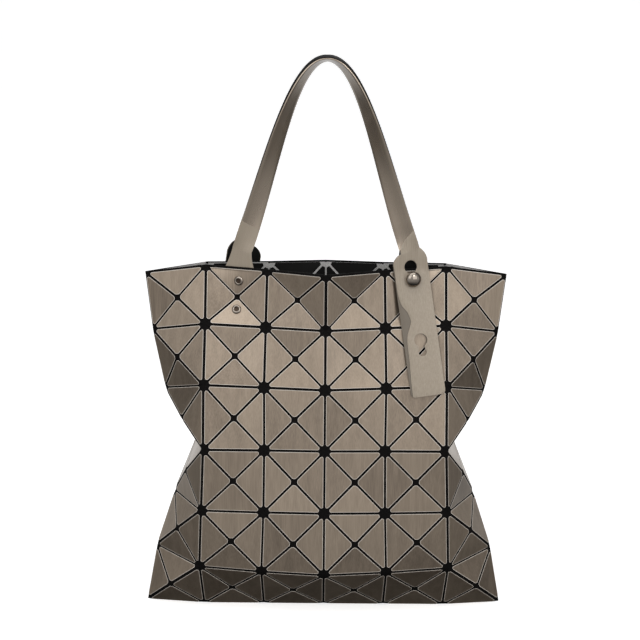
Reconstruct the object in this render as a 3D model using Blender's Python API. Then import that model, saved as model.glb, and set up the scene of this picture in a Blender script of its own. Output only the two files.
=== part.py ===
# Faceted panel tote handbag: a hollow bag of stiff triangular panels on mesh cloth, two
# strap handles with keyhole tabs, rivets and mushroom studs. Metres, +Z up, front at -Y,
# standing on the flat keel strip of its base with the origin under the middle.
import math
from collections import namedtuple

import bmesh
import bpy
import numpy as np
from mathutils import Matrix, Vector
from mathutils.geometry import interpolate_bezier, intersect_plane_plane

# Bag
BAG_LENGTH = 0.336          # along the base and the rim
BAG_HEIGHT = 0.325          # floor to the rim's highest fold nodes
BAG_DEPTH = 0.110           # front to back where the bag is fullest
KEEL_WIDTH = 0.020          # flat strip that the bag stands on
CLOTH_WALL = 0.0012         # mesh cloth with its inner backing
PANEL_RELIEF = 0.0010       # how far a panel stands proud of the cloth
SEAM_WIDTH = 0.0022         # bare cloth between two panels
NODE_WIDTH = 0.011          # bare cloth where eight panels meet
CROSS_WIDTH = 0.006         # bare cloth where four panels meet
SQUARE_PUFF = 0.010         # unit of the squares' puff and dish in FOLDS

# Handles
STRAP_WIDTH = 0.0188
STRAP_THICKNESS = 0.0022
STRAP_TURN = 80.0           # degrees that the strap has turned at the top of the arch
TURN_EASE = 0.5             # power of the way up: under 1 it turns most just above the neck
HANDLE_RISE = 0.1736        # neck of the tab to the arch's top
NECK_RISE = 0.0255          # stud to the neck
NECK_INSET = 0.0024         # how far the neck lies inside the stud, along X
ARCH_TAKEOFF = (0.657, 0.444)   # first Bezier handle: share of neck X, share of rise
ARCH_CROWN = 0.416          # second Bezier handle at full rise: share of neck X
TAB_WIDTH = 0.0320
TAB_DROP = 0.106            # stud to the tab's lower edge
TAB_LEAN = 8.5              # degrees that the tab leans outwards
TAB_CORNER = 0.004
SHOULDER = 0.011            # height over which the tab narrows to the strap
PATCH_DROP = 0.011          # inner patch below its lower rivet
KEYHOLE_WIDE = 0.0120
KEYHOLE_NARROW = 0.0076
KEYHOLE_SPAN = 0.0110       # between the centres of a keyhole's two ends
KEYHOLE_NECK = 0.0056
KEYHOLE_STEP = 0.0665       # stud to the narrow end of the lower keyhole

# Rivets and studs
RIVET_CAP_WIDTH = 0.0088
RIVET_CAP_HEIGHT = 0.0016
SHANK_WIDTH = 0.0040
UPPER_RIVET = 0.57          # share of the way from the square's middle to the rim
LOWER_RIVET = 0.44          # share of the way from the square's middle to the next fold
RIVET_INSET = 0.0020        # upper rivet, from the square's middle line towards the bag's middle
STUD_PLACE = 0.715          # share of the way from the square's middle to the rim
STUD_INSET = 0.0040         # the same, of the stud
STUD_HEAD_WIDTH = 0.0144
STUD_HEAD_HEIGHT = 0.0056
STUD_NECK_WIDTH = 0.0054
STUD_FLANGE_WIDTH = 0.0090
STUD_FLANGE = 0.0010
INNER_CAP = 0.0012
RIVET_DOME = ((1.0, 0.35), (0.72, 0.85), (0.0, 1.0))    # shares of its half width and height
INNER_CAP_EDGE = ((0.0, 1.0), (0.8, 1.0), (1.0, 0.6))   # the same, of the cap inside the bag
STUD_RIM = 0.2              # share of the stud's head that is its upright rim
STUD_UNDERSIDE = 0.86       # share of the head's width that is flat underneath

CLEARANCE = 0.0003          # between pieces that touch on the real bag
STRAP_REST = 0.0006         # between a strap and the wall that it lies on

# Points along curved lines
ROUND_SIDES = 14
CORNER_POINTS = 4
KEYHOLE_POINTS = 10
LEG_POINTS = 17
TAB_POINTS = 12
DOME_POINTS = 5

# One row for each horizontal fold, rim first. x columns are shares of half BAG_LENGTH,
# z columns of BAG_HEIGHT and y columns of half BAG_DEPTH. side is the bag's side edge,
# outer, inner and middle are the fold nodes from there to the middle of the front.
# The puffs, in SQUARE_PUFF, push out the middles of the squares below that fold.
Fold = namedtuple("Fold", "x_side x_outer x_inner z_side z_outer z_middle "
                          "y_outer y_inner y_middle side_puff front_puff")
FOLDS = (
    Fold(1.000, 0.660, 0.320, 0.975, 1.000, 0.990, 0.17, 0.44, 0.81, -0.15, -0.66),
    Fold(0.960, 0.660, 0.327, 0.809, 0.840, 0.828, 0.48, 0.56, 0.65, 0.55, -0.28),
    Fold(0.890, 0.665, 0.334, 0.638, 0.673, 0.662, 0.76, 0.77, 0.80, 1.05, -0.03),
    Fold(0.713, 0.664, 0.331, 0.494, 0.495, 0.489, 0.99, 0.93, 0.90, 0.80, 0.00),
    Fold(0.838, 0.677, 0.334, 0.333, 0.314, 0.311, 0.91, 0.97, 0.99, 0.65, 0.23),
    Fold(0.943, 0.690, 0.345, 0.167, 0.140, 0.126, 0.74, 0.88, 0.93, 1.20, 0.10),
    Fold(1.000, 0.674, 0.337, 0.000, 0.000, 0.000, None, None, None, None, None),
)
ROWS = len(FOLDS) - 1
COLUMNS = 6
FRONT, BACK = -1, 1


def clear_scene():
    for thing in list(bpy.data.objects):
        bpy.data.objects.remove(thing, do_unlink=True)


def material(name, colour, roughness, metallic):
    made = bpy.data.materials.new(name)
    made.use_nodes = True
    shader = made.node_tree.nodes["Principled BSDF"]
    shader.inputs["Base Color"].default_value = (*colour, 1.0)
    shader.inputs["Roughness"].default_value = roughness
    shader.inputs["Metallic"].default_value = metallic
    return made


def add_object(name, bm, finish, smooth=False):
    bmesh.ops.recalc_face_normals(bm, faces=bm.faces)
    mesh = bpy.data.meshes.new(name)
    bm.to_mesh(mesh)
    bm.free()
    mesh.materials.append(finish)
    if smooth:
        mesh.shade_smooth()
        mesh.set_sharp_from_angle(angle=math.radians(35))
    made = bpy.data.objects.new(name, mesh)
    bpy.context.scene.collection.objects.link(made)
    return made


# The fold lattice

def fold_node(face, column, row):
    """A fold node of the front (face -1) or the back (face 1)."""
    fold = FOLDS[row]
    step = abs(column - COLUMNS // 2)
    x_share = (0.0, fold.x_inner, fold.x_outer, fold.x_side)[step]
    z_inner = (fold.z_outer + fold.z_middle) / 2
    z_share = (fold.z_middle, z_inner, fold.z_outer, fold.z_side)[step]
    y_share = (fold.y_middle, fold.y_inner, fold.y_outer, 0.0)[step]
    x = math.copysign(x_share * BAG_LENGTH / 2, column - COLUMNS / 2)
    if step == COLUMNS // 2:
        y = 0.0
    elif row == ROWS:
        y = face * KEEL_WIDTH / 2
    else:
        y = face * y_share * BAG_DEPTH / 2
    return Vector((x, y, z_share * BAG_HEIGHT))


def square_corners(face, column, row):
    steps = ((0, 0), (1, 0), (1, 1), (0, 1))
    return [fold_node(face, column + i, row + j) for i, j in steps]


def square_middle(face, column, row):
    corners = square_corners(face, column, row)
    middle = sum(corners, Vector()) / 4
    normal = (corners[2] - corners[0]).cross(corners[3] - corners[1]).normalized()
    if normal.y * face < 0:
        normal = -normal
    at_side = column in (0, COLUMNS - 1)
    fold = FOLDS[row]
    puff = fold.side_puff if at_side else fold.front_puff
    return middle + normal * puff * SQUARE_PUFF


def node_key(face, column, row):
    """Front and back share the nodes of the side edges."""
    return (0 if column in (0, COLUMNS) else face, column, row)


def lattice():
    """Points by key, and the triangles of both faces as keys, their square's middle last."""
    points = {}
    triangles = []
    for face in (FRONT, BACK):
        for row in range(ROWS):
            for column in range(COLUMNS):
                middle = ("middle", face, column, row)
                points[middle] = square_middle(face, column, row)
                steps = ((0, 0), (1, 0), (1, 1), (0, 1))
                keys = [node_key(face, column + i, row + j) for i, j in steps]
                for key, (i, j) in zip(keys, steps):
                    points[key] = fold_node(face, column + i, row + j)
                for a, b in zip(keys, keys[1:] + keys[:1]):
                    triangles.append((a, b, middle) if face == BACK else (b, a, middle))
    return points, triangles


def keel_faces():
    """The flat strip between the front and back lower folds, as key loops facing down."""
    loops = []
    for column in range(COLUMNS):
        loop = [node_key(FRONT, column, ROWS), node_key(BACK, column, ROWS),
                node_key(BACK, column + 1, ROWS), node_key(FRONT, column + 1, ROWS)]
        loops.append(list(dict.fromkeys(loop)))
    return loops


def inner_points(points, triangles, keel):
    """Each point moved in so that it lies CLOTH_WALL behind all the faces around it."""
    planes = {key: [] for key in points}
    for loop in list(triangles) + keel:
        a, b, c = (points[key] for key in loop[:3])
        normal = (b - a).cross(c - a).normalized()
        for key in loop:
            planes[key].append((tuple(normal), -CLOTH_WALL))
    moved = {}
    for key, point in points.items():
        rows = list(planes[key])
        if key[0] != "middle" and key[2] == 0:
            rows.append(((0.0, 0.0, 1.0), 0.0))
        steady = 0.05
        rows += [(tuple(steady * v for v in axis), 0.0) for axis in np.eye(3)]
        matrix = np.array([row[0] for row in rows])
        target = np.array([row[1] for row in rows])
        shift = np.linalg.lstsq(matrix, target, rcond=None)[0]
        moved[key] = point + Vector(shift)
    return moved


def panel_ring(corners, hole_widths):
    """Six corners of the panel on a triangle: its sides pulled in, its tips cut off."""
    normal = (corners[1] - corners[0]).cross(corners[2] - corners[0]).normalized()
    ring = []
    for index, tip in enumerate(corners):
        along_in = (corners[index - 1] - tip).normalized()
        along_out = (corners[(index + 1) % 3] - tip).normalized()
        half = along_in.angle(along_out) / 2
        reach = (hole_widths[index] - SEAM_WIDTH * math.sin(half)) / 2 / math.cos(half)
        for along, inward in ((along_in, along_in.cross(normal)),
                              (along_out, normal.cross(along_out))):
            ring.append(tip + along * reach + inward * SEAM_WIDTH / 2
                        + normal * PANEL_RELIEF)
    return ring


def make_body(cloth, cutters):
    bm = bmesh.new()
    points, triangles = lattice()
    keel = keel_faces()
    outside = {key: bm.verts.new(point) for key, point in points.items()}
    inside = {key: bm.verts.new(point)
              for key, point in inner_points(points, triangles, keel).items()}
    for loop in triangles:
        tips = [outside[key] for key in loop]
        ring = [bm.verts.new(point) for point in
                panel_ring([tip.co for tip in tips], (NODE_WIDTH, NODE_WIDTH, CROSS_WIDTH))]
        bm.faces.new(ring)
        for index in range(3):
            before, after = ring[2 * index], ring[2 * index + 1]
            bm.faces.new((tips[index], after, before))
            bm.faces.new((tips[index], tips[(index + 1) % 3],
                          ring[(2 * index + 2) % 6], after))
        bm.faces.new([inside[key] for key in reversed(loop)])
    for loop in keel:
        bm.faces.new([outside[key] for key in loop])
        bm.faces.new([inside[key] for key in reversed(loop)])
    for face in (FRONT, BACK):
        for column in range(COLUMNS):
            a, b = (node_key(face, column + i, 0) for i in (0, 1))
            bm.faces.new((outside[a], outside[b], inside[b], inside[a]))
    body = add_object("body", bm, cloth)
    for cutter in cutters:
        cut(body, cutter)


def cut(target, cutter):
    modifier = target.modifiers.new("hole", "BOOLEAN")
    modifier.operation = "DIFFERENCE"
    modifier.object = cutter
    cutter.hide_render = True
    cutter.display_type = "WIRE"


# Places on the squares that carry the handles

def carrying_square(side):
    """The column of the square, in the top row, that carries a handle's end at that side."""
    return COLUMNS // 2 + 1 if side > 0 else COLUMNS // 2 - 2


def seat(side, share, upper, inset=0.0):
    """A point on the carrying square's upper or lower triangle and that panel's normal."""
    column = carrying_square(side)
    row = 0 if upper else 1
    a = fold_node(FRONT, column, row)
    b = fold_node(FRONT, column + 1, row)
    middle = square_middle(FRONT, column, 0)
    normal = (b - a).cross(middle - a).normalized()
    if normal.y > 0:
        normal = -normal
    return middle.lerp((a + b) / 2, share) - (b - a).normalized() * side * inset, normal


def stud_seat():
    return seat(1, STUD_PLACE, True, STUD_INSET)


def upper_rivet_seat():
    return seat(-1, UPPER_RIVET, True, RIVET_INSET)


def lower_rivet_seat():
    return seat(-1, LOWER_RIVET, False)


def wall_depth(x, z):
    """How far the front's folds stand forward of the middle plane, between the nodes."""
    column = carrying_square(1)
    first, last = fold_node(FRONT, column, 0), fold_node(FRONT, column + 1, 0)
    across = min(max((abs(x) - first.x) / (last.x - first.x), 0.0), 1.0)
    heights = []
    depths = []
    for row in range(ROWS):
        node = fold_node(FRONT, column, row).lerp(fold_node(FRONT, column + 1, row), across)
        heights.append(node.z)
        depths.append(-node.y)
    return float(np.interp(z, heights[::-1], depths[::-1]))


# The handle: pairs of edge points, outer edge first, from the tab round to the patch

def tab_depth(x, z):
    """How far forward the tab's middle surface lies, hung on the wall's folds."""
    return wall_depth(x, z) + PANEL_RELIEF + STRAP_REST + STRAP_THICKNESS / 2


def tab_axis():
    """Where the stud crosses the tab, and the tab's upward direction, in the XZ plane."""
    point, normal = stud_seat()
    crossing = point
    for _ in range(6):
        crossing = point - normal * (point.y + tab_depth(crossing.x, crossing.z)) / normal.y
    lean = math.radians(TAB_LEAN)
    return Vector((crossing.x, 0, crossing.z)), Vector((-math.sin(lean), 0, math.cos(lean)))


def tab_point(along, across):
    """A point of the tab's middle surface, measured from the stud as the front shows it."""
    stud, up = tab_axis()
    right = Vector((up.z, 0, -up.x))
    flat = stud + up * along + right * across
    return Vector((flat.x, -tab_depth(flat.x, flat.z), flat.z))


def corner_steps():
    """Round corner: distance along and how much narrower each side is there."""
    for index in range(CORNER_POINTS):
        turn = math.pi / 2 * index / (CORNER_POINTS - 1)
        yield TAB_CORNER * (1 - math.cos(turn)), TAB_CORNER * (1 - math.sin(turn))


def tab_edges():
    half = TAB_WIDTH / 2
    edges = []
    for rise, narrower in corner_steps():
        along = rise - TAB_DROP
        edges.append((tab_point(along, half - narrower), tab_point(along, narrower - half)))
    straight = NECK_RISE - SHOULDER + TAB_DROP - TAB_CORNER
    for index in range(1, TAB_POINTS + 1):
        along = TAB_CORNER - TAB_DROP + straight * index / TAB_POINTS
        edges.append((tab_point(along, half), tab_point(along, -half)))
    return edges


def rim_turn():
    """Angle that the rim's wall turns back towards the side, where the handles cross it."""
    column = carrying_square(1)
    a, b = fold_node(FRONT, column, 0), fold_node(FRONT, column + 1, 0)
    return math.atan2(b.y - a.y, b.x - a.x)


def leg_edges(side, neck_y):
    """Edge pairs from the neck up to the arch's top, for the leg at that side of X."""
    stud, _ = tab_axis()
    neck = Vector((stud.x - NECK_INSET, 0, stud.z + NECK_RISE))
    top = Vector((0, 0, neck.z + HANDLE_RISE))
    takeoff = Vector((neck.x * ARCH_TAKEOFF[0], 0, neck.z + HANDLE_RISE * ARCH_TAKEOFF[1]))
    crown = Vector((neck.x * ARCH_CROWN, 0, top.z))
    path = interpolate_bezier(neck, takeoff, crown, top, LEG_POINTS)
    turn = math.radians(STRAP_TURN)
    half = STRAP_WIDTH / 2
    top_y = -(half * math.sin(turn) + STRAP_THICKNESS / 2 * math.cos(turn) + CLEARANCE / 2)
    start = -rim_turn()
    edges = []
    for index, point in enumerate(path):
        share = index / (len(path) - 1)
        ahead = path[min(index + 1, len(path) - 1)] - path[max(index - 1, 0)]
        if index == len(path) - 1:
            ahead = top - crown
        ahead.normalize()
        outward = Vector((ahead.z * side, 0, -ahead.x))
        twist = start + (turn - start) * share ** TURN_EASE
        across = outward * math.cos(twist) - Vector((0, 1, 0)) * math.sin(twist)
        middle = Vector((point.x * side, neck_y + (top_y - neck_y) * share, point.z))
        edges.append((middle + across * half, middle - across * half))
    return edges


def patch_plane(upper):
    """The patch's middle surface behind the upper or the lower panel: point and normal."""
    point, normal = seat(-1, 0, upper)
    behind = CLOTH_WALL + STRAP_REST + STRAP_THICKNESS / 2
    return point - normal * behind, normal


def patch_point(x, z, upper):
    point, normal = patch_plane(upper)
    y = point.y - (normal.x * (x - point.x) + normal.z * (z - point.z)) / normal.y
    return Vector((x, y, z))


def patch_fold(x):
    """Where the patch's two planes meet at that X."""
    point, along = intersect_plane_plane(*patch_plane(True), *patch_plane(False))
    return point + along * (x - point.x) / along.x


def patch_edges():
    """Edge pairs of the fixed end, from the shoulder inside the rim down to its lower edge."""
    upper_rivet, _ = upper_rivet_seat()
    lower_rivet, _ = lower_rivet_seat()
    middle_x = upper_rivet.x
    half = TAB_WIDTH / 2
    sides = (-1, 1)
    edges = []
    for z in (upper_rivet.z + RIVET_CAP_WIDTH / 2 + PANEL_RELIEF, upper_rivet.z):
        edges.append(tuple(patch_point(middle_x + s * half, z, True) for s in sides))
    edges.append(tuple(patch_fold(middle_x + s * half) for s in sides))
    low = lower_rivet.z - PATCH_DROP
    for rise, narrower in reversed(list(corner_steps())):
        edges.append(tuple(patch_point(middle_x + s * (half - narrower), low + rise, False)
                           for s in sides))
    return edges


def shoulder(wide, narrow, ease):
    """Edge pairs between a wide and a narrow pair; ease gives the width left at a share."""
    wide_middle, narrow_middle = (wide[0] + wide[1]) / 2, (narrow[0] + narrow[1]) / 2
    edges = []
    for index in range(1, CORNER_POINTS):
        share = index / CORNER_POINTS
        middle = wide_middle.lerp(narrow_middle, share)
        half = ((narrow[0] - narrow[1]) / 2).lerp((wide[0] - wide[1]) / 2, ease(share))
        edges.append((middle + half, middle - half))
    return edges


def round_ease(share):
    return math.cos(share * math.pi / 2) ** 0.7


def hollow_ease(share):
    return (1 - share) ** 1.6


def handle_edges():
    stud, _ = tab_axis()
    neck_x = stud.x - NECK_INSET
    rim_y = wall_depth(neck_x, BAG_HEIGHT)
    outer_y = -(rim_y + PANEL_RELIEF + STRAP_REST + STRAP_THICKNESS / 2)
    inner_y = -(rim_y - CLOTH_WALL - STRAP_REST - STRAP_THICKNESS / 2)
    right = leg_edges(1, outer_y)
    left = leg_edges(-1, inner_y)
    tab = tab_edges()
    patch = patch_edges()
    return (tab + shoulder(tab[-1], right[0], round_ease) + right + left[-2::-1]
            + shoulder(patch[0], left[0], hollow_ease)[::-1] + patch)


def ribbon(bm, edges, thickness):
    """A closed strap of even thickness whose middle surface runs through the edge pairs."""
    middles = [(a + b) / 2 for a, b in edges]
    rings = []
    for index, (a, b) in enumerate(edges):
        ahead = middles[min(index + 1, len(edges) - 1)] - middles[max(index - 1, 0)]
        normal = ahead.cross(a - b).normalized() * thickness / 2
        rings.append([bm.verts.new(point) for point in
                      (a + normal, b + normal, b - normal, a - normal)])
    for low, high in zip(rings, rings[1:]):
        for index in range(4):
            after = (index + 1) % 4
            bm.faces.new((low[index], low[after], high[after], high[index]))
    bm.faces.new(rings[0])
    bm.faces.new(reversed(rings[-1]))


def keyhole_outline():
    """Keyhole around its narrow end's centre, wide end upwards, as (across, up) points."""
    points = []
    for width, centre, start in ((KEYHOLE_WIDE, KEYHOLE_SPAN, -90), (KEYHOLE_NARROW, 0, 90)):
        radius = width / 2
        open_half = math.degrees(math.asin(KEYHOLE_NECK / width))
        for index in range(KEYHOLE_POINTS):
            share = index / (KEYHOLE_POINTS - 1)
            turn = math.radians(start + open_half + (360 - 2 * open_half) * share)
            points.append((radius * math.cos(turn), centre + radius * math.sin(turn)))
    return points


def tab_frame(along):
    """Centre, across, up and out directions of the tab at a distance from the stud."""
    step = TAB_CORNER
    across = (tab_point(along, step) - tab_point(along, -step)).normalized()
    up = (tab_point(along + step, 0) - tab_point(along - step, 0)).normalized()
    out = across.cross(up).normalized()
    return tab_point(along, 0), across, up, out


def keyhole_cutter(name, along):
    centre, across, up, out = tab_frame(along)
    depth = STRAP_THICKNESS * 2
    bm = bmesh.new()
    rings = []
    for reach in (-depth, depth):
        rings.append([bm.verts.new(centre + across * u + up * v + out * reach)
                      for u, v in keyhole_outline()])
    count = len(rings[0])
    for index in range(count):
        after = (index + 1) % count
        bm.faces.new((rings[0][index], rings[0][after], rings[1][after], rings[1][index]))
    bm.faces.new(rings[0])
    bm.faces.new(reversed(rings[1]))
    return add_object(name, bm, None)


def make_handles(strap, cutters):
    """Both handles share one cut mesh, the back one standing half a turn away."""
    bm = bmesh.new()
    ribbon(bm, handle_edges(), STRAP_THICKNESS)
    front = add_object("handle_front", bm, strap)
    for cutter in cutters:
        cut(front, cutter)
    seen = front.evaluated_get(bpy.context.evaluated_depsgraph_get())
    bm = bmesh.new()
    bm.from_mesh(seen.data)
    bmesh.ops.triangulate(bm, faces=bm.faces)
    front.modifiers.clear()
    bm.to_mesh(front.data)
    bm.free()
    back = bpy.data.objects.new("handle_back", front.data)
    bpy.context.scene.collection.objects.link(back)
    back.rotation_euler.z = math.pi


# Turned hardware

def turned(profile):
    """A closed round solid from (radius, height) points that start and end on its axis."""
    bm = bmesh.new()
    rings = []
    for radius, height in profile:
        if radius == 0:
            rings.append([bm.verts.new((0, 0, height))])
            continue
        turns = [2 * math.pi * i / ROUND_SIDES for i in range(ROUND_SIDES)]
        rings.append([bm.verts.new((radius * math.cos(t), radius * math.sin(t), height))
                      for t in turns])
    for low, high in zip(rings, rings[1:]):
        for index in range(ROUND_SIDES):
            after = (index + 1) % ROUND_SIDES
            loop = [low[index % len(low)], low[after % len(low)],
                    high[after % len(high)], high[index % len(high)]]
            bm.faces.new(list(dict.fromkeys(loop)))
    return bm


def place(made, point, normal, face):
    """Stands a turned piece on a front panel, or on the back one half a turn away."""
    stand = Matrix.Translation(point) @ normal.to_track_quat("Z", "Y").to_matrix().to_4x4()
    if face == BACK:
        stand = Matrix.Rotation(math.pi, 4, "Z") @ stand
    made.matrix_basis = stand


def hole_cutter(name, point, normal, face, width, depth):
    half = width / 2
    made = add_object(name, turned([(0, -depth), (half, -depth), (half, depth), (0, depth)]), None)
    place(made, point, normal, face)
    return made


def inner_end(behind, face):
    """Profile of the cap inside the bag and of the shank up to the panel's face."""
    cap = RIVET_CAP_WIDTH / 2
    shank = SHANK_WIDTH / 2
    return ([(cap * wide, behind - INNER_CAP * high) for wide, high in INNER_CAP_EDGE]
            + [(cap, behind), (shank, behind), (shank, face)])


def rivet_profile():
    cap = RIVET_CAP_WIDTH / 2
    face = PANEL_RELIEF + CLEARANCE
    behind = -(CLOTH_WALL + STRAP_REST + STRAP_THICKNESS + CLEARANCE)
    return (inner_end(behind, face) + [(cap, face)]
            + [(cap * wide, face + RIVET_CAP_HEIGHT * high) for wide, high in RIVET_DOME])


def stud_reach():
    """How far out the head must start to clear the leaning tab."""
    point, normal = stud_seat()
    centre, _, _, out = tab_frame(0)
    away = (centre - point).dot(normal) + STRAP_THICKNESS / 2
    return away + STUD_HEAD_WIDTH / 2 * math.sin(normal.angle(out)) + CLEARANCE


def stud_profile():
    head = STUD_HEAD_WIDTH / 2
    neck = STUD_NECK_WIDTH / 2
    flange = STUD_FLANGE_WIDTH / 2
    face = PANEL_RELIEF + CLEARANCE
    under = stud_reach()
    profile = inner_end(-(CLOTH_WALL + CLEARANCE), face)
    profile += [(flange, face), (flange, face + STUD_FLANGE), (neck, face + STUD_FLANGE),
                (neck, under), (head * STUD_UNDERSIDE, under)]
    rim = STUD_HEAD_HEIGHT * STUD_RIM
    dome = STUD_HEAD_HEIGHT - rim
    for index in range(DOME_POINTS):
        turn = math.pi / 2 * index / DOME_POINTS
        profile.append((head * math.cos(turn), under + rim + dome * math.sin(turn)))
    profile.append((0, under + STUD_HEAD_HEIGHT))
    return profile


def make_part():
    clear_scene()
    cloth = material("panelled cloth", (0.30, 0.25, 0.21), 0.35, 0.0)
    strap = material("strap", (0.36, 0.30, 0.25), 0.3, 0.0)
    metal = material("bright metal", (0.75, 0.72, 0.68), 0.15, 1.0)
    seats = {
        "rivet_upper": upper_rivet_seat(),
        "rivet_lower": lower_rivet_seat(),
        "stud": stud_seat(),
    }
    bore = SHANK_WIDTH + 2 * CLEARANCE
    through = CLOTH_WALL + STRAP_REST + STRAP_THICKNESS * 2
    wall_cutters = []
    strap_cutters = [keyhole_cutter("upper_keyhole_cutter", 0),
                     keyhole_cutter("lower_keyhole_cutter", -KEYHOLE_STEP)]
    for face, face_name in ((FRONT, "front"), (BACK, "back")):
        for kind, (point, normal) in seats.items():
            cutter = hole_cutter(f"{kind}_{face_name}_cutter", point, normal, face,
                                 bore, through)
            wall_cutters.append(cutter)
            if face == FRONT and kind != "stud":
                strap_cutters.append(cutter)
            profile = stud_profile() if kind == "stud" else rivet_profile()
            piece = add_object(f"{kind}_{face_name}", turned(profile), metal, smooth=True)
            place(piece, point, normal, face)
    make_body(cloth, wall_cutters)
    make_handles(strap, strap_cutters)


make_part()
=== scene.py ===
# Folded panel tote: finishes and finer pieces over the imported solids
import math

import bpy
import numpy as np
from mathutils import Matrix, Vector


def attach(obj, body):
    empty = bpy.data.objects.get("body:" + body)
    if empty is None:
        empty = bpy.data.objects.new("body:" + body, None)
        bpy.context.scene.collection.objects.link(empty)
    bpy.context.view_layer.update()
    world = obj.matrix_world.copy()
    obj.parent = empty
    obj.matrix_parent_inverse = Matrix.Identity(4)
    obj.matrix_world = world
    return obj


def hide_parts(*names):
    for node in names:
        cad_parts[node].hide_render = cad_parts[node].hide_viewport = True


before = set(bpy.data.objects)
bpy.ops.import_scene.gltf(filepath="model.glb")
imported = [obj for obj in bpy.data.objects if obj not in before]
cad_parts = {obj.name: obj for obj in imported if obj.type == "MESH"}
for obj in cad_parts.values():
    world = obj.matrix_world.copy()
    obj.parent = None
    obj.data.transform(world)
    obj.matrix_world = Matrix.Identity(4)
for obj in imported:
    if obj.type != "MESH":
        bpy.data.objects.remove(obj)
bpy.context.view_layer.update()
print("solids loaded")


# Working with pieces

# how near points are joined, and how flat an edge between faces is dissolved
joining = {"gap": 2e-6, "flatAngle": 0.003}


def only(piece):
    if bpy.context.mode != "OBJECT":
        bpy.ops.object.mode_set(mode="OBJECT")
    bpy.ops.object.select_all(action="DESELECT")
    piece.select_set(True)
    bpy.context.view_layer.objects.active = piece


def pickFaces(piece, test):
    # selects the faces that pass the test, and leaves the piece in edit mode
    only(piece)
    bpy.ops.object.mode_set(mode="EDIT")
    bpy.ops.mesh.select_mode(type="FACE")
    bpy.ops.mesh.select_all(action="DESELECT")
    bpy.ops.object.mode_set(mode="OBJECT")
    for face in piece.data.polygons:
        face.select = bool(test(face))
    bpy.ops.object.mode_set(mode="EDIT")


def pickPoints(piece, test):
    only(piece)
    bpy.ops.object.mode_set(mode="EDIT")
    bpy.ops.mesh.select_mode(type="VERT")
    bpy.ops.mesh.select_all(action="DESELECT")
    bpy.ops.object.mode_set(mode="OBJECT")
    for point in piece.data.vertices:
        point.select = bool(test(point.co))
    bpy.ops.object.mode_set(mode="EDIT")


def keepFaces(piece, test):
    pickFaces(piece, lambda face: not test(face))
    bpy.ops.mesh.delete(type="FACE")
    bpy.ops.object.mode_set(mode="OBJECT")


def applied(piece, kind, **settings):
    only(piece)
    modifier = piece.modifiers.new(kind.title(), kind)
    for name, value in settings.items():
        setattr(modifier, name, value)
    bpy.ops.object.modifier_apply(modifier=modifier.name)


def solidCopy(node, name):
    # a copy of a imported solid, its loose triangles joined and flat faces made whole
    piece = bpy.data.objects.new(name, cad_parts[node].data.copy())
    bpy.context.scene.collection.objects.link(piece)
    piece.data.materials.clear()
    only(piece)
    bpy.ops.object.mode_set(mode="EDIT")
    bpy.ops.mesh.select_all(action="SELECT")
    bpy.ops.mesh.remove_doubles(threshold=joining["gap"])
    bpy.ops.mesh.dissolve_limited(angle_limit=joining["flatAngle"])
    bpy.ops.object.mode_set(mode="OBJECT")
    return piece


def pieceCopy(piece, name, turn=0.0):
    twin = bpy.data.objects.new(name, piece.data.copy())
    bpy.context.scene.collection.objects.link(twin)
    twin.data.transform(Matrix.Rotation(turn, 4, "Z"))
    return twin


def finished(piece, finish, replaced=(), smoothAngle=30):
    only(piece)
    if finish:
        piece.data.materials.clear()
        piece.data.materials.append(finish)
    bpy.ops.object.shade_smooth_by_angle(angle=math.radians(smoothAngle))
    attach(piece, "root")
    for node in replaced:
        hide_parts(node)
    return piece


# Shader maths: a socket that adds and multiplies like a number

class Value:
    def __init__(self, finish, socket):
        self.finish = finish
        self.socket = socket

    def maths(self, operation, first, second):
        return self.finish.add("Math", {"operation": operation}, {0: first, 1: second})

    def __add__(self, other):
        return self.maths("ADD", self, other)

    def __sub__(self, other):
        return self.maths("SUBTRACT", self, other)

    def __mul__(self, other):
        return self.maths("MULTIPLY", self, other)

    def __rsub__(self, other):
        return self.maths("SUBTRACT", other, self)

    __radd__ = __add__
    __rmul__ = __mul__


class Finish:
    def __init__(self, name, **fixed):
        self.material = bpy.data.materials.new(name)
        self.material.use_nodes = True
        self.tree = self.material.node_tree
        self.shader = self.tree.nodes["Principled BSDF"]
        self.surface(**fixed)

    def feed(self, socket, value):
        if isinstance(value, Value):
            self.tree.links.new(value.socket, socket)
        else:
            socket.default_value = value

    def add(self, kind, settings=None, values=None, output=0):
        node = self.tree.nodes.new("ShaderNode" + kind)
        for name, value in (settings or {}).items():
            setattr(node, name, value)
        for key, value in (values or {}).items():
            self.feed(node.inputs[key], value)
        return Value(self, node.outputs[output])

    def surface(self, **values):
        for name, value in values.items():
            words = "".join(" " + c if c.isupper() else c for c in name)
            words = words[0].upper() + words[1:]
            self.feed(self.shader.inputs[words.replace("Ior", "IOR")], value)

    def place(self, scale, source):
        spots = {"Object": 3, "UV": 2}
        coordinates = self.add("TexCoord", output=spots[source])
        return self.add("Mapping", values={"Vector": coordinates, "Scale": scale})

    def noise(self, scale, size, detail=2.0, roughness=0.5, source="Object"):
        return self.add("TexNoise", values={"Vector": self.place(scale, source), "Scale": size,
                                            "Detail": detail, "Roughness": roughness})

    def spread(self, value, low, high, newLow=0.0, newHigh=1.0):
        return self.add("MapRange", {"interpolation_type": "SMOOTHSTEP"},
                        {0: value, 1: low, 2: high, 3: newLow, 4: newHigh})

    def blend(self, share, first, second):
        return self.add("Mix", {"data_type": "RGBA"}, {0: share, 6: first, 7: second}, output=2)

    def bump(self, height, strength, distance, under=None):
        values = {"Height": height, "Strength": strength, "Distance": distance}
        if under:
            values["Normal"] = under
        return self.add("Bump", values=values)


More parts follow.
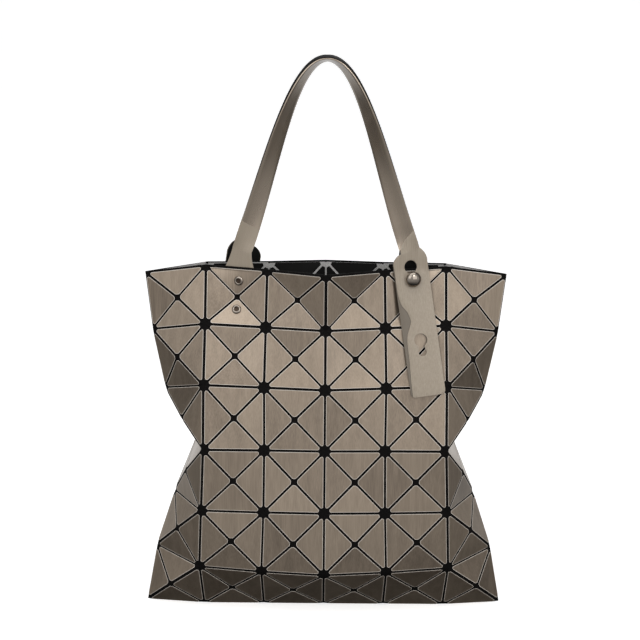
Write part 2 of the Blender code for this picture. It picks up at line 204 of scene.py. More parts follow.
def colour(red, green, blue):
    # a colour as seen on screen, 0 to 255, made linear
    return tuple((c / 255 / 12.92 if c <= 10 else ((c / 255 + 0.055) / 1.055) ** 2.4)
                 for c in (red, green, blue)) + (1.0,)


# Finishes

panelLook = {
    "light": colour(174, 158, 140), "dark": colour(124, 111, 97),
    "metallic": 0.7, "roughness": (0.28, 0.42), "coat": 0.3, "coatRoughness": 0.14,
    "grainPitch": 1500, "grainStretch": 0.02, "grainDepth": 0.00003,
    "cloudPitch": 26, "cloudDepth": 0.0009, "broadStretch": 0.12, "broadStep": 9,
    "grainShare": 0.3, "broadShare": 0.2, "toneShare": 0.6, "toneDrop": 0.04,
}


def panelFinish():
    look = panelLook
    made = Finish("lacquered panel", metallic=look["metallic"], coatWeight=look["coat"],
                  coatRoughness=look["coatRoughness"])
    tone = made.add("Attribute", {"attribute_name": "panelTone"}, output=2)
    grain = made.noise((1, 1, look["grainStretch"]), look["grainPitch"], 3.0, 0.6)
    broad = made.noise((1, 1, look["broadStretch"]), look["grainPitch"] / look["broadStep"],
                       2.0, 0.5)
    cloud = made.noise((1, 1, 1), look["cloudPitch"], 1.5, 0.45)
    streak = (made.spread(grain, 0.3, 0.7) * look["grainShare"]
              + made.spread(broad, 0.3, 0.7) * look["broadShare"])
    shade = streak + tone * look["toneShare"] - look["toneDrop"]
    made.surface(baseColor=made.blend(shade, look["dark"], look["light"]),
                 roughness=made.spread(cloud + grain * 0.3, 0.4, 0.85, *look["roughness"]))
    soft = made.bump(cloud, 0.35, look["cloudDepth"])
    made.surface(normal=made.bump(grain, 0.25, look["grainDepth"], soft))
    return made.material


def edgeHighlightFinish():
    # the cut edge of a panel, coloured lighter than the panel: a painted highlight
    made = Finish("panel edge, painted highlight", coatWeight=0.4, coatRoughness=0.15)
    speck = made.noise((1, 1, 1), 500, 2.0)
    made.surface(baseColor=made.blend(speck, colour(194, 184, 172), colour(232, 223, 213)),
                 roughness=made.spread(speck, 0.3, 0.7, 0.3, 0.5))
    return made.material


clothLook = {
    "thread": colour(15, 13, 12), "gap": colour(4, 3, 3), "pitch": 0.00085,
    "innerThread": colour(214, 212, 210), "innerGap": colour(120, 118, 116),
    "bindingStart": (0.965, 0.972),
}


def clothFinish(name, thread, gap, bound=False):
    # plain weave, and where it is bound a black binding along the rim
    look = clothLook
    made = Finish(name, specularIorLevel=0.15)
    waves = 2 * math.pi / look["pitch"]
    ways = made.add("TexCoord", output=3)
    x = made.add("SeparateXYZ", values={0: ways}, output=0)
    y = made.add("SeparateXYZ", values={0: ways}, output=1)
    z = made.add("SeparateXYZ", values={0: ways}, output=2)
    across = made.add("Math", {"operation": "SINE"}, {0: (x + y * 0.7) * waves})
    upward = made.add("Math", {"operation": "SINE"}, {0: z * waves})
    weave = across * upward * 0.5 + 0.5
    worn = made.noise((1, 1, 1), 900, 2.0)
    cloth = made.blend(made.spread(weave * 0.7 + worn * 0.4, 0.25, 0.8), gap, thread)
    if bound:
        rim = made.add("Attribute", {"attribute_name": "rimNear"}, output=2)
        cloth = made.blend(made.spread(rim, *look["bindingStart"]), cloth, look["gap"])
    made.surface(baseColor=cloth,
                 roughness=made.spread(worn, 0.3, 0.7, 0.75, 0.95),
                 normal=made.bump(weave, 0.6, 0.0002))
    return made.material


def hollowShadeFinish():
    # the dark brown in a rivet's hollow, painted shade
    made = Finish("rivet hollow, painted shade", metallic=0.8)
    hollowMottle = made.noise((1, 1, 1), 1500, 3.0)
    made.surface(baseColor=made.blend(hollowMottle, colour(44, 35, 29), colour(92, 78, 66)),
                 roughness=made.spread(hollowMottle, 0.3, 0.7, 0.4, 0.6))
    return made.material


def edgePaintAndShadeFinish():
    # dark brown on the cut edges inside the keyholes: edge paint, and also painted shade
    made = Finish("edge paint and painted shade", coatWeight=0.2, coatRoughness=0.3)
    worn = made.noise((1, 1, 1), 900, 3.0)
    made.surface(baseColor=made.blend(worn, colour(40, 33, 28), colour(74, 64, 55)),
                 roughness=made.spread(worn, 0.3, 0.7, 0.45, 0.6))
    return made.material


def blackFinish():
    made = Finish("matt black backing", specularIorLevel=0.12)
    grain = made.noise((1, 1, 1), 1400, 3.0)
    cloud = made.noise((1, 1, 1), 45, 2.0)
    made.surface(baseColor=made.blend(cloud, colour(6, 5, 5), colour(15, 14, 13)),
                 roughness=made.spread(cloud, 0.3, 0.7, 0.5, 0.72),
                 normal=made.bump(grain, 0.35, 0.00008))
    return made.material


tabLook = {
    "light": colour(163, 151, 135), "dark": colour(147, 135, 119), "roughness": (0.42, 0.55),
    "metallic": 0.12,
}
strapLook = {
    "light": colour(178, 164, 148), "dark": colour(132, 119, 104), "roughness": (0.2, 0.32),
    "metallic": 0.75, "coat": 0.6, "coatRoughness": 0.06, "underShade": 0.5,
    "filmHeight": (0.3211, 0.3221), "filmLean": 0.6, "tabSideDrop": 0.020,
}


def strapFinish():
    # lacquer, with a matt film near both ends up to a slanted line just above the bag
    look = strapLook
    made = Finish("lacquered strap", coatRoughness=look["coatRoughness"])
    grain = made.noise((46, 1, 1), 5.0, 3.0, 0.6, "UV")
    cloud = made.noise((1, 6, 1), 1.3, 2.0, 0.5, "UV")
    spot = made.add("TexCoord", output=3)
    x, y, z = (made.add("SeparateXYZ", values={0: spot}, output=axis) for axis in range(3))
    away = made.add("Math", {"operation": "ABSOLUTE"}, {0: x})
    tabSide = 1 - made.spread(x * y, -0.00001, 0.00001)
    bare = made.spread(z - away * look["filmLean"] + tabSide * look["tabSideDrop"],
                       *look["filmHeight"])
    film = made.blend(made.spread(grain, 0.3, 0.7), tabLook["dark"], tabLook["light"])
    # beside the tab the strap's lower layer gets the tab's film colours at half brightness: painted
    # shade
    under = made.blend(made.spread(grain, 0.3, 0.7),
                       *(tuple(c * look["underShade"] for c in tabLook[tone][:3]) + (1,)
                         for tone in ("dark", "light")))
    lacquer = made.blend(grain * 0.7 + cloud * 0.6 - 0.15, look["dark"], look["light"])
    gloss = made.spread(cloud, 0.3, 0.7, *look["roughness"])
    made.surface(baseColor=made.blend(bare, made.blend(tabSide, film, under), lacquer),
                 metallic=bare * (look["metallic"] - tabLook["metallic"]) + tabLook["metallic"],
                 coatWeight=bare * look["coat"],
                 roughness=gloss * bare + (1 - bare) * tabLook["roughness"][0],
                 normal=made.bump(grain, 0.2, 0.00003, made.bump(cloud, 0.2, 0.0006)))
    return made.material


def tabFinish():
    look = tabLook
    made = Finish("matt tab face", metallic=look["metallic"], coatWeight=0.15, coatRoughness=0.3)
    grain = made.noise((1, 1, 0.03), 1300, 3.0, 0.6)
    speck = made.noise((1, 1, 1), 2600, 2.0)
    made.surface(baseColor=made.blend(made.spread(grain * 0.7 + speck * 0.3, 0.3, 0.7),
                                      look["dark"], look["light"]),
                 roughness=made.spread(speck, 0.3, 0.7, *look["roughness"]),
                 normal=made.bump(grain * 0.6 + speck * 0.4, 0.25, 0.00006))
    return made.material


chromeLook = {"light": colour(172, 163, 153), "dark": colour(128, 118, 108)}


def chromeFinish():
    look = chromeLook
    made = Finish("polished metal", metallic=1.0)
    scuff = made.noise((1, 1, 1), 700, 4.0)
    made.surface(baseColor=made.blend(scuff, look["dark"], look["light"]),
                 roughness=made.spread(scuff, 0.35, 0.75, 0.08, 0.16),
                 normal=made.bump(scuff, 0.05, 0.00004))
    return made.material


panelSkin = panelFinish()
panelEdgeHighlight = edgeHighlightFinish()
outerCloth = clothFinish("black mesh cloth", clothLook["thread"], clothLook["gap"])
innerCloth = clothFinish("grey mesh cloth inside", clothLook["innerThread"],
                         clothLook["innerGap"], True)
matBlack = blackFinish()
strapSkin = strapFinish()
tabSkin = tabFinish()
chrome = chromeFinish()
rivetHollowShade = hollowShadeFinish()
edgePaintAndShade = edgePaintAndShadeFinish()
print("finishes made")


# Bag: mesh cloth shell, stiff panels on it, black plates inside it

bag = {
    "plateThickness": 0.0012, "plateLift": 0.0002, "plateCorner": 0.0012,
    "plateBevel": 0.0004, "plateHighlightBand": 0.0004,
    "innerSeam": 0.0010, "innerCorner": 0.0038, "innerLift": 0.00035,
    "rimRise": 0.0008, "rimFrom": 0.31, "rimSlopes": (0.6, 0.9), "bindingFrom": 0.3185,
    "faceArea": 1e-4, "innerArea": 1.5e-4, "keelMiddle": 0.001,
    "carrierReach": 0.111, "holeReach": 0.0036, "toneSeed": 7,
}
# where each sits on the front, in millimetres, and the way that its panel faces
metalSeats = {
    "rivetUpper": ("rivet_upper_", (-80.07, -17.09, 312.29), (-0.2521, -0.9674, -0.0223)),
    "rivetLower": ("rivet_lower_", (-82.16, -21.73, 285.82), (-0.0546, -0.8926, 0.4475)),
    "stud": ("stud_", (78.24, -17.66, 316.23), (0.2521, -0.9674, -0.0223)),
}
holeSpots = [Vector((way * x, way * y, z)) / 1000
             for _, (x, y, z), _ in metalSeats.values() for way in (1, -1)]


def isPanelTop(face):
    # six points, and more where a rivet or a stud goes through
    corners, large = len(face.vertices), face.area > bag["faceArea"]
    whole = corners == 6 and large and abs(face.center.y) > bag["keelMiddle"]
    cut = (corners > 6 and large and face.normal.y * face.center.y > 0
           and abs(face.center.x) < bag["carrierReach"])
    return whole or cut


def isInnerWall(face):
    # three points, and more than four where a rivet or a stud goes through
    corners = len(face.vertices)
    whole = corners == 3 and face.area > bag["innerArea"]
    cut = (corners > 4 and face.area > bag["faceArea"] and face.normal.y * face.center.y < 0
           and abs(face.center.x) < bag["carrierReach"])
    return whole or cut


def isRim(face):
    # flat between the nodes, and folded in triangles where it narrows to the side corners
    folded, flat = bag["rimSlopes"]
    lowest = folded if len(face.vertices) == 3 else flat
    return face.normal.z > lowest and face.center.z > bag["rimFrom"]


def closeHoles(piece):
    # fills the rivet holes of a sheet of separate flat faces
    reach = bag["holeReach"]
    pickPoints(piece, lambda p: any((p - spot).length < reach for spot in holeSpots))
    bpy.ops.mesh.fill_holes(sides=0)
    bpy.ops.mesh.select_all(action="SELECT")
    bpy.ops.mesh.dissolve_limited(angle_limit=joining["flatAngle"])
    bpy.ops.object.mode_set(mode="OBJECT")


def makeCloth():
    cloth = solidCopy("body", "meshCloth")
    for skin in (outerCloth, innerCloth):
        cloth.data.materials.append(skin)
    for face in cloth.data.polygons:
        face.material_index = 1 if isInnerWall(face) else 0
    # the folded rim stands a little above the panels
    pickFaces(cloth, isRim)
    bpy.ops.mesh.extrude_region_move(TRANSFORM_OT_translate={"value": (0, 0, bag["rimRise"])})
    bpy.ops.object.mode_set(mode="OBJECT")
    rimNear = cloth.data.attributes.new("rimNear", "FLOAT", "POINT")
    rimNear.data.foreach_set("value", [float(point.co.z > bag["bindingFrom"])
                                       for point in cloth.data.vertices])
    return finished(cloth, None, ["body"])


def setTones(piece):
    # each panel reads slightly lighter or darker than the next
    faces = piece.data.polygons
    attribute = piece.data.attributes.new("panelTone", "FLOAT", "FACE")
    source = np.random.default_rng(bag["toneSeed"])
    attribute.data.foreach_set("value", source.uniform(0, 1, len(faces)).astype(np.float32))


def makePanels():
    panels = solidCopy("body", "panels")
    keepFaces(panels, isPanelTop)
    closeHoles(panels)
    print("panels:", len(panels.data.polygons))
    setTones(panels)
    only(panels)
    bpy.ops.object.mode_set(mode="EDIT")
    bpy.ops.mesh.select_mode(type="VERT")
    bpy.ops.mesh.select_all(action="SELECT")
    bpy.ops.mesh.bevel(affect="VERTICES", offset=bag["plateCorner"], segments=3,
                       clamp_overlap=True)
    panels.data.materials.append(panelSkin)
    panels.data.materials.append(panelEdgeHighlight)
    # a lighter outline just inside each panel's edge, a painted highlight
    bpy.ops.mesh.select_mode(type="FACE")
    bpy.ops.mesh.select_all(action="SELECT")
    bpy.ops.mesh.inset(thickness=bag["plateHighlightBand"], use_individual=True)
    bpy.ops.mesh.select_all(action="INVERT")
    panels.active_material_index = 1
    bpy.ops.object.material_slot_assign()
    bpy.ops.object.mode_set(mode="OBJECT")
    applied(panels, "SOLIDIFY", thickness=bag["plateThickness"],
            offset=2 * bag["plateLift"] / bag["plateThickness"] - 1)
    # the bevelled plate edges take the same painted highlight
    applied(panels, "BEVEL", width=bag["plateBevel"], segments=2, limit_method="ANGLE",
            angle_limit=math.radians(40), material=1)
    return finished(panels, None)


def makeInnerPlates():
    plates = solidCopy("body", "innerPlates")
    keepFaces(plates, isInnerWall)
    closeHoles(plates)
    only(plates)
    bpy.ops.object.mode_set(mode="EDIT")
    bpy.ops.mesh.select_mode(type="FACE")
    bpy.ops.mesh.select_all(action="SELECT")
    bpy.ops.mesh.inset(thickness=bag["innerSeam"], use_individual=True)
    bpy.ops.mesh.select_all(action="INVERT")
    bpy.ops.mesh.delete(type="FACE")
    bpy.ops.mesh.select_mode(type="VERT")
    bpy.ops.mesh.select_all(action="SELECT")
    bpy.ops.mesh.bevel(affect="VERTICES", offset=bag["innerCorner"], segments=1,
                       clamp_overlap=False)
    bpy.ops.object.mode_set(mode="OBJECT")
    applied(plates, "SOLIDIFY", thickness=bag["innerLift"], offset=0.6)
    return finished(plates, matBlack)


makeCloth()
makePanels()
makeInnerPlates()
print("bag dressed")


# Handles: each a taupe face on a black backing, with a keyhole tab at one end

handle = {
    "stud": (0.07936, 0.31613), "neckInset": 0.0024, "neckRise": 0.0255, "rise": 0.1736,
    "takeoff": (0.657, 0.444), "crown": 0.416, "turn": 80.0, "turnEase": 0.5,
    "width": 0.0188, "thickness": 0.0022, "outerY": -0.02088, "innerY": -0.01528,
    "tabWidth": 0.0320, "tabDrop": 0.106, "tabLean": 8.5, "shoulder": 0.011, "corner": 0.004,
    "faceThickness": 0.0011, "gap": 0.0003, "rest": 0.0022, "standOff": 0.0005,
    "legStations": 44, "acrossCells": 6,
    "keyWide": 0.0120, "keyNarrow": 0.0076, "keySpan": 0.0110, "keyNeck": 0.0056,
    "keyStep": 0.0665, "probe": 0.004, "cutterDepth": 0.012,
    "wallSlack": 0.0003, "wallFacing": 0.85,
    "tabFace": 0.0006, "tabFaceSide": 0.995, "tabFaceTop": 0.3605, "skinGap": 0.00002,
    "leanStretch": 1.012, "shoulderFrom": 14, "liftFrom": 0.357, "liftOver": 0.006,
    "backingInset": 0.02, "mergeGap": 6e-5, "thinGap": 2e-5, "edgeRound": 0.0002,
}
# the folds of the wall behind a tab, from its upper rim down, at the column's two edges
wallFolds = {
    "x": (0.0538, 0.1109),
    "z": ((0.3234, 0.3250), (0.2711, 0.2730), (0.2169, 0.2187), (0.1599, 0.1609),
          (0.1016, 0.1021)),
    "depth": ((0.0242, 0.0094), (0.0308, 0.0264), (0.0424, 0.0418), (0.0512, 0.0545),
              (0.0534, 0.0501)),
}


def wallDepth(x, z):
    first, last = wallFolds["x"]
    share = min(max((abs(x) - first) / (last - first), 0.0), 1.0)
    heights = [a + (b - a) * share for a, b in wallFolds["z"]]
    depths = [a + (b - a) * share for a, b in wallFolds["depth"]]
    return float(np.interp(z, heights[::-1], depths[::-1]))


def tabSpot(along, across):
    # a point on the middle of the tab, from the stud, as the front shows it
    lean = math.radians(handle["tabLean"])
    x = handle["stud"][0] - math.sin(lean) * along + math.cos(lean) * across
    z = handle["stud"][1] + math.cos(lean) * along + math.sin(lean) * across
    return Vector((x, -wallDepth(x, z) - handle["rest"] - handle["standOff"], z))


def tabStations(low, high, count):
    # (left, right) pairs up the tab, its lower corners rounded
    half = handle["tabWidth"] / 2
    pairs = []
    for index in range(7):
        turn = math.pi / 2 * index / 6
        narrower = handle["corner"] * (1 - math.sin(turn))
        rise = handle["corner"] * (1 - math.cos(turn))
        pairs.append((low + rise, -half + narrower, half - narrower))
    start = low + handle["corner"]
    for index in range(1, count + 1):
        pairs.append((start + (high - start) * index / count, -half, half))
    return pairs


def legStations(side, neckY):
    # edge pairs up one leg, a Bezier curve along which the strap turns edge-on
    neck = Vector((handle["stud"][0] - handle["neckInset"], 0,
                   handle["stud"][1] + handle["neckRise"]))
    top = Vector((0, 0, neck.z + handle["rise"]))
    takeoff = Vector((neck.x * handle["takeoff"][0], 0,
                      neck.z + handle["rise"] * handle["takeoff"][1]))
    crown = Vector((neck.x * handle["crown"], 0, top.z))
    turn = math.radians(handle["turn"])
    half = handle["width"] / 2
    topY = -(half * math.sin(turn) + handle["thickness"] / 2 * math.cos(turn)
             + handle["gap"] / 2)
    start = math.atan2(wallFolds["depth"][0][0] - wallFolds["depth"][0][1],
                       wallFolds["x"][1] - wallFolds["x"][0])
    pairs = []
    for index in range(handle["legStations"] + 1):
        t = index / handle["legStations"]
        point = (neck * (1 - t) ** 3 + takeoff * 3 * t * (1 - t) ** 2
                 + crown * 3 * t * t * (1 - t) + top * t ** 3)
        ahead = ((takeoff - neck) * (1 - t) ** 2 + (crown - takeoff) * 2 * t * (1 - t)
                 + (top - crown) * t * t).normalized()
        outward = Vector((ahead.z * side, 0, -ahead.x))
        twist = -start + (turn + start) * t ** handle["turnEase"]
        across = outward * math.cos(twist) - Vector((0, 1, 0)) * math.sin(twist)
        middle = Vector((point.x * side, neckY + (topY - neckY) * t, point.z))
        pairs.append((middle + across * half, middle - across * half))
    return pairs


def easedRows(wide, narrow, ease, count=9):
    # pairs between a wide and a narrow pair; ease gives the extra width left
    wideMiddle, narrowMiddle = (wide[0] + wide[1]) / 2, (narrow[0] + narrow[1]) / 2
    pairs = []
    for index in range(1, count):
        share = index / count
        middle = wideMiddle.lerp(narrowMiddle, share)
        half = ((narrow[0] - narrow[1]) / 2).lerp((wide[0] - wide[1]) / 2, ease(share))
        pairs.append((middle + half, middle - half))
    return pairs


# the fixed end lies inside the bag's wall: left and right points from the rim down, in
# millimetres
patchRows = (
    ((-96.07, -10.04, 317.69), (-64.07, -18.39, 317.69)),
    ((-96.07, -9.92, 312.29), (-64.07, -18.26, 312.29)),
    ((-96.07, -9.68, 301.69), (-64.07, -17.74, 289.51)),
    ((-96.07, -21.14, 278.82), (-64.07, -23.10, 278.82)),
    ((-95.53, -22.18, 276.82), (-64.60, -24.07, 276.82)),
    ((-94.07, -23.00, 275.35), (-66.07, -24.71, 275.35)),
    ((-92.07, -23.39, 274.82), (-68.07, -24.86, 274.82)),
)


def handleRows():
    # edge pairs from the tab's lower edge over the arch to the fixed end, and how many come
    # before the right leg
    topOfTab = handle["neckRise"] - handle["shoulder"]
    tab = [(tabSpot(along, right), tabSpot(along, left))
           for along, left, right in tabStations(-handle["tabDrop"], topOfTab, 40)]
    right = legStations(1, handle["outerY"])
    left = legStations(-1, handle["innerY"])
    patch = [tuple(Vector(p) / 1000 for p in pair) for pair in patchRows]
    fine = []
    for first, second in zip(patch, patch[1:]):
        for step in range(3):
            fine.append((first[0].lerp(second[0], step / 3),
                         first[1].lerp(second[1], step / 3)))
    fine.append(patch[-1])
    neck = easedRows(tab[-1], right[0], lambda s: math.cos(s * math.pi / 2) ** 0.7)
    foot = easedRows(fine[0], left[0], lambda s: (1 - s) ** 1.6)[::-1]
    return tab + neck + right + left[-2::-1] + foot + fine, len(tab) + len(neck)


def stripSheet(name, rows, lifts, starts=None, ends=None):
    # a grid laid between edge pairs, raised from the middle surface towards its face
    cells = handle["acrossCells"]
    bpy.ops.object.select_all(action="DESELECT")
    bpy.ops.mesh.primitive_grid_add(x_subdivisions=cells, y_subdivisions=len(rows) - 1, size=1)
    sheet = bpy.context.object
    sheet.name = sheet.data.name = name
    middles = [(a + b) / 2 for a, b in rows]
    last = len(rows) - 1
    for point in sheet.data.vertices:
        row = round((point.co.y + 0.5) * last)
        share = point.co.x + 0.5
        a, b = rows[row]
        low = starts[row] if starts else 0.0
        high = ends[row] if ends else 1.0
        ahead = middles[min(row + 1, last)] - middles[max(row - 1, 0)]
        faceWay = -ahead.cross(a - b).normalized()
        point.co = b.lerp(a, low + (high - low) * share) + faceWay * lifts[row]
    print(name, "rows", len(rows), "points", len(sheet.data.vertices))
    return sheet


def keyholeCutters(along):
    # wide end above, narrow end below and the neck between them, square to the tab
    centre = tabSpot(along, 0)
    probe, depth = handle["probe"], handle["cutterDepth"]
    across = (tabSpot(along, probe) - tabSpot(along, -probe)).normalized()
    upward = (tabSpot(along + probe, 0) - tabSpot(along - probe, 0)).normalized()
    outward = across.cross(upward).normalized()
    upward = outward.cross(across)
    stand = Matrix((across, upward, outward)).transposed().to_4x4()
    cutters = []
    for radius, rise in ((handle["keyWide"] / 2, handle["keySpan"]),
                         (handle["keyNarrow"] / 2, 0)):
        bpy.ops.mesh.primitive_cylinder_add(vertices=40, radius=radius, depth=depth)
        cutters.append((bpy.context.object, centre + upward * rise))
    bpy.ops.mesh.primitive_cube_add(size=1)
    bpy.context.object.scale = (handle["keyNeck"], handle["keySpan"], depth)
    cutters.append((bpy.context.object, centre + upward * handle["keySpan"] / 2))
    for cutter, place in cutters:
        stretch = Matrix.Diagonal((*cutter.scale, 1))
        cutter.matrix_world = Matrix.Translation(place) @ stand @ stretch
    return [cutter for cutter, _ in cutters]


# how far the tab's face layer reaches to the left, by height above the stud, in millimetres
tabLeftEdge = (
    (-106, -14.6), (-103, -14.4), (-92, -14.1), (-76.6, -13.2), (-64.8, -12.9),
    (-57.5, -12.8), (-50.4, -11.9), (-46.5, -10.2), (-42.5, -8.1), (-37.7, -6.7),
    (-33, -7.7), (-28.7, -9.2), (-26.5, -10.8), (-24.5, -12.5), (-20.3, -14.1),
    (-13, -15.6), (-5, -16),
)
# where its slanted tongue up the strap starts, by the same height, as a share of the width
tongueEdge = ((29, 0.0), (37, 0.5), (39, 0.86), (43, 0.95))


def tabFaceStarts(rows):
    # where the face layer starts across each row, as a share of the row's width
    stud = tabSpot(0, 0)
    starts = []
    for a, b in rows:
        middle = (a + b) / 2
        height = (middle.z - stud.z) * 1000
        half = (a - b).length * 500
        edge = float(np.interp(height * handle["leanStretch"], *zip(*tabLeftEdge)))
        start = 0.0
        if height < handle["shoulderFrom"]:
            start = max(0.0, (half + edge) / (2 * half))
        if height > tongueEdge[0][0]:
            start = float(np.interp(height, *zip(*tongueEdge)))
        starts.append(min(start, tongueEdge[-1][1]))
    return starts


def isKeyholeWall(side):
    # a wall of either keyhole: near its middle line and square to the tab
    reach, slack, probe = handle["keyWide"] / 2, handle["wallSlack"], handle["probe"]
    for along in (0, -handle["keyStep"]):
        low, high = tabSpot(along, 0), tabSpot(along + handle["keySpan"], 0)
        upward = (high - low).normalized()
        across = (tabSpot(along, probe) - tabSpot(along, -probe)).normalized()
        away = side.center - low
        beside = abs(away.dot(across)) < reach + slack
        level = -reach < away.dot(upward) < handle["keySpan"] + reach + slack
        facing = abs(side.normal.dot(across.cross(upward)))
        if beside and level and facing < handle["wallFacing"]:
            return True
    return False


def makeHandle():
    rows, neckRow = handleRows()
    heights = [((a + b) / 2).z for a, b in rows]
    thick = handle["faceThickness"]
    sunk = thick - handle["tabFace"]
    rightLeg = neckRow + handle["legStations"]
    lifts = []
    for index, z in enumerate(heights):
        share = 1.0
        if index < rightLeg:
            share = min(max((z - handle["liftFrom"]) / handle["liftOver"], 0.0), 1.0)
        lifts.append(sunk + (thick - sunk) * share)
    face = stripSheet("strapFace", rows, lifts)
    applied(face, "SOLIDIFY", thickness=thick, offset=-1)
    inset = handle["backingInset"]
    backing = stripSheet("strapBacking", rows[1:-1], [handle["skinGap"]] * (len(rows) - 2),
                         [inset] * len(rows), [1 - inset] * len(rows))
    applied(backing, "SOLIDIFY", thickness=thick, offset=-1)
    tabRows = [pair for index, pair in enumerate(rows)
               if index < rightLeg and heights[index] < handle["tabFaceTop"]]
    tab = stripSheet("tabFace", tabRows, [thick] * len(tabRows), tabFaceStarts(tabRows),
                     [handle["tabFaceSide"]] * len(tabRows))
    applied(tab, "SOLIDIFY", thickness=handle["tabFace"] - handle["skinGap"], offset=-1)
    for layer, skin in ((face, strapSkin), (backing, matBlack), (tab, tabSkin)):
        layer.data.materials.append(skin)
        layer.data.materials.append(edgePaintAndShade)
    for along in (0, -handle["keyStep"]):
        for cutter in keyholeCutters(along):
            for layer in (face, backing, tab):
                applied(layer, "BOOLEAN", operation="DIFFERENCE", object=cutter, solver="EXACT")
            bpy.data.objects.remove(cutter)
    for layer in (face, backing, tab):
        pickPoints(layer, lambda point: True)
        bpy.ops.mesh.remove_doubles(threshold=handle["mergeGap"])
        bpy.ops.mesh.dissolve_degenerate(threshold=handle["thinGap"])
        bpy.ops.object.mode_set(mode="OBJECT")
        applied(layer, "BEVEL", width=handle["edgeRound"], segments=2, limit_method="ANGLE",
                angle_limit=math.radians(50))
        # keyhole walls take the dark edge paint, which is partly painted shade
        for side in layer.data.polygons:
            side.material_index = 1 if isKeyholeWall(side) else 0
    return face, backing, tab


face, backing, tab = makeHandle()
for side, turn in (("Front", 0.0), ("Back", math.pi)):
    node = "handle_" + side.lower()
    finished(pieceCopy(face, "strapFace" + side, turn), None, [node])
    finished(pieceCopy(backing, "strapBacking" + side, turn), None, [node])
    finished(pieceCopy(tab, "tabFace" + side, turn), None, [node])
for layer in (face, backing, tab):
    bpy.data.objects.remove(layer)
print("handles made")


# Rivets and studs, turned from a disc by extruding and scaling ring after ring

metalParts = {
    "sides": 48,
    "panelRelief": 0.0013, "strapInside": 0.0043, "clothInside": 0.0015, "innerCap": 0.0012,
    "rivetWidth": 0.0088, "shank": 0.0040, "headWidth": 0.0144, "headHeight": 0.0056,
    "headReach": 0.007517, "neckWidth": 0.0054, "flangeWidth": 0.0090,
    "rivetHeight": 0.0016, "hollowShare": 0.25, "domeRings": 20,
}


def turnedPiece(name, rings):
    # rings are (radius, height) from the inner end outwards
    radius, height = rings[0]
    bpy.ops.object.select_all(action="DESELECT")
    bpy.ops.mesh.primitive_circle_add(vertices=metalParts["sides"], radius=radius,
                                      fill_type="NGON", location=(0, 0, height))
    piece = bpy.context.object
    piece.name = piece.data.name = name
    bpy.ops.object.transform_apply(location=True, rotation=True, scale=True)
    bpy.ops.object.mode_set(mode="EDIT")
    bpy.ops.mesh.select_mode(type="FACE")
    bpy.ops.mesh.select_all(action="SELECT")
    bpy.ops.mesh.extrude_region_move(TRANSFORM_OT_translate={"value": (0, 0, 0)})
    for (wide, low), (nextWide, high) in zip(rings, rings[1:]):
        bpy.ops.transform.translate(value=(0, 0, high - low))
        share = nextWide / wide
        bpy.ops.transform.resize(value=(share, share, 1))
        if (nextWide, high) != rings[-1]:
            bpy.ops.mesh.extrude_region_move(TRANSFORM_OT_translate={"value": (0, 0, 0)})
    bpy.ops.mesh.select_all(action="SELECT")
    bpy.ops.mesh.normals_make_consistent(inside=False)
    bpy.ops.object.mode_set(mode="OBJECT")
    return piece


def innerEnd(behind):
    cap, shank = metalParts["rivetWidth"] / 2, metalParts["shank"] / 2
    thick = metalParts["innerCap"]
    return [(cap * 0.82, behind - thick), (cap * 0.94, behind - thick * 0.85),
            (cap, behind - thick * 0.5), (cap, behind),
            (shank, behind), (shank, metalParts["panelRelief"])]


def rivetRings():
    cap, base = metalParts["rivetWidth"] / 2, metalParts["panelRelief"]
    outline = ((1.0, 0.0), (1.0, 0.25), (0.95, 0.52), (0.86, 0.78), (0.74, 0.95),
               (0.64, 1.0), (0.56, 0.95), (0.50, 0.80), (0.47, 0.50), (0.44, 0.15),
               (0.30, 0.10), (0.16, 0.10), (0.03, 0.10))
    return innerEnd(-metalParts["strapInside"]) + [
        (cap * w, base + metalParts["rivetHeight"] * h) for w, h in outline]


def studRings():
    base, reach = metalParts["panelRelief"], metalParts["headReach"]
    head, rise = metalParts["headWidth"] / 2, metalParts["headHeight"]
    flange, neck = metalParts["flangeWidth"] / 2, metalParts["neckWidth"] / 2
    rings = innerEnd(-metalParts["clothInside"])
    rings += [(flange, base), (flange, base + 0.0007), (flange * 0.93, base + 0.001),
              (neck, base + 0.001), (neck, reach), (head * 0.84, reach),
              (head * 0.95, reach + 0.0003), (head, reach + rise * 0.16)]
    for index in range(1, metalParts["domeRings"]):
        turn = math.pi / 2 * index / metalParts["domeRings"]
        rings.append((head * math.cos(turn), reach + rise * (0.2 + 0.8 * math.sin(turn))))
    rings.append((head * 0.03, reach + rise))
    return rings


for name, (nodeStart, spot, way) in metalSeats.items():
    isStud = name == "stud"
    model = turnedPiece(name, studRings() if isStud else rivetRings())
    model.data.materials.append(chrome)
    model.data.materials.append(rivetHollowShade)
    hollow = 0 if isStud else metalParts["rivetWidth"] * metalParts["hollowShare"]
    # faces inside the rivet's hollow take the dark brown painted shade
    for side in model.data.polygons:
        inside = math.hypot(*side.center[:2]) < hollow and side.center.z > metalParts["panelRelief"]
        side.material_index = 1 if inside else 0
    facing = Vector(way).to_track_quat("Z", "Y").to_matrix().to_4x4()
    stand = Matrix.Translation(Vector(spot) / 1000) @ facing
    model.data.transform(stand)
    for side, turn in (("Front", 0.0), ("Back", math.pi)):
        piece = pieceCopy(model, name + side, turn)
        finished(piece, None, [nodeStart + side.lower()], 35)
    bpy.data.objects.remove(model)
print("metal parts made")


# Studio: pale floor, soft lights, camera

studio = {
    "cameraSpot": (-0.0052, -1.879, 0.630), "pitch": 10.77, "roll": 0.44, "lens": 115.2,
    "sensor": 36, "floorSize": 60, "floorShades": ((0.93, 0.93, 0.93, 1), (0.95, 0.95, 0.95, 1)),
    "floorGlow": 0.56, "skyStrength": 1.05,
    "skyDepth": ((0.0, 0.66), (0.32, 0.6), (0.46, 0.24), (0.62, 0.12), (0.76, 0.2), (0.86, 1.0)),
    "skyHeight": ((0.0, 0.05), (0.12, 0.12), (0.3, 0.62), (0.47, 1.0), (0.8, 1.0), (1.0, 0.7)),
}


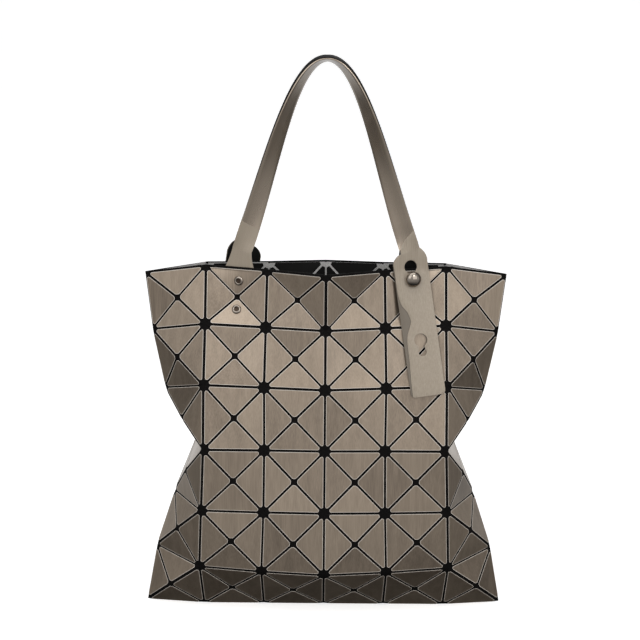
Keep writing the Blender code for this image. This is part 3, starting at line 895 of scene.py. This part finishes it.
def makeFloor():
    bpy.ops.object.select_all(action="DESELECT")
    bpy.ops.mesh.primitive_plane_add(size=studio["floorSize"])
    floor = bpy.context.object
    floor.name = "floor"
    made = Finish("pale floor", roughness=0.7, specularIorLevel=0.2)
    made.surface(baseColor=made.blend(made.noise((1, 1, 1), 3), *studio["floorShades"]))
    made.surface(emissionColor=(1, 1, 1, 1), emissionStrength=studio["floorGlow"])
    floor.data.materials.append(made.material)
    floor.visible_glossy = False
    floor.visible_diffuse = False


def areaLight(name, spot, aim, size, power):
    light = bpy.data.lights.new(name, "AREA")
    light.shape = "RECTANGLE"
    light.size, light.size_y = size
    light.energy = power
    lamp = bpy.data.objects.new(name, light)
    bpy.context.scene.collection.objects.link(lamp)
    lamp.location = spot
    lamp.rotation_euler = (Vector(aim) - Vector(spot)).to_track_quat("-Z", "Y").to_euler()


def makeSky():
    # light by direction: bright from the camera's side, dimmer from the sides and from below,
    # white behind; each step is (share of the way, brightness)
    world = bpy.data.worlds.new("studio")
    bpy.context.scene.world = world
    world.use_nodes = True
    tree = world.node_tree
    ways = tree.nodes.new("ShaderNodeTexCoord")
    split = tree.nodes.new("ShaderNodeSeparateXYZ")
    tree.links.new(ways.outputs["Generated"], split.inputs[0])
    both = tree.nodes.new("ShaderNodeMix")
    both.data_type = "RGBA"
    both.blend_type = "MULTIPLY"
    both.inputs[0].default_value = 1
    for axis, steps, target in (("Y", studio["skyDepth"], 6), ("Z", studio["skyHeight"], 7)):
        share = tree.nodes.new("ShaderNodeMapRange")
        ramp = tree.nodes.new("ShaderNodeValToRGB")
        tree.links.new(split.outputs[axis], share.inputs["Value"])
        share.inputs["From Min"].default_value = -1
        tree.links.new(share.outputs["Result"], ramp.inputs["Fac"])
        elements = ramp.color_ramp.elements
        while len(elements) < len(steps):
            elements.new(0.5)
        for element, (place, light) in zip(elements, steps):
            element.position = place
            element.color = (light, light, light, 1)
        tree.links.new(ramp.outputs["Color"], both.inputs[target])
    tree.links.new(both.outputs[2], tree.nodes["Background"].inputs["Color"])
    tree.nodes["Background"].inputs["Strength"].default_value = studio["skyStrength"]


makeFloor()
makeSky()
areaLight("keyLeft", (-1.1, -1.9, 1.5), (0, 0, 0.25), (1.9, 1.8), 13)
areaLight("fillRight", (1.2, -1.9, 1.0), (0, 0, 0.25), (1.6, 1.6), 9)
areaLight("topSoft", (0, -0.4, 2.2), (0, 0, 0), (2.2, 1.6), 16)
areaLight("window", (0.75, -1.5, 1.5), (0, 0, 0.3), (0.35, 0.35), 3.6)
camera = bpy.data.objects.new("camera", bpy.data.cameras.new("camera"))
bpy.context.scene.collection.objects.link(camera)
camera.location = studio["cameraSpot"]
tilt = Matrix.Rotation(math.radians(90 - studio["pitch"]), 3, "X")
camera.rotation_euler = (tilt @ Matrix.Rotation(math.radians(studio["roll"]), 3, "Z")).to_euler()
camera.data.lens = studio["lens"]
camera.data.sensor_width = studio["sensor"]
bpy.context.scene.camera = camera
bpy.context.scene.view_settings.view_transform = "Standard"
bpy.context.scene.cycles.use_denoising = True
print("studio set")
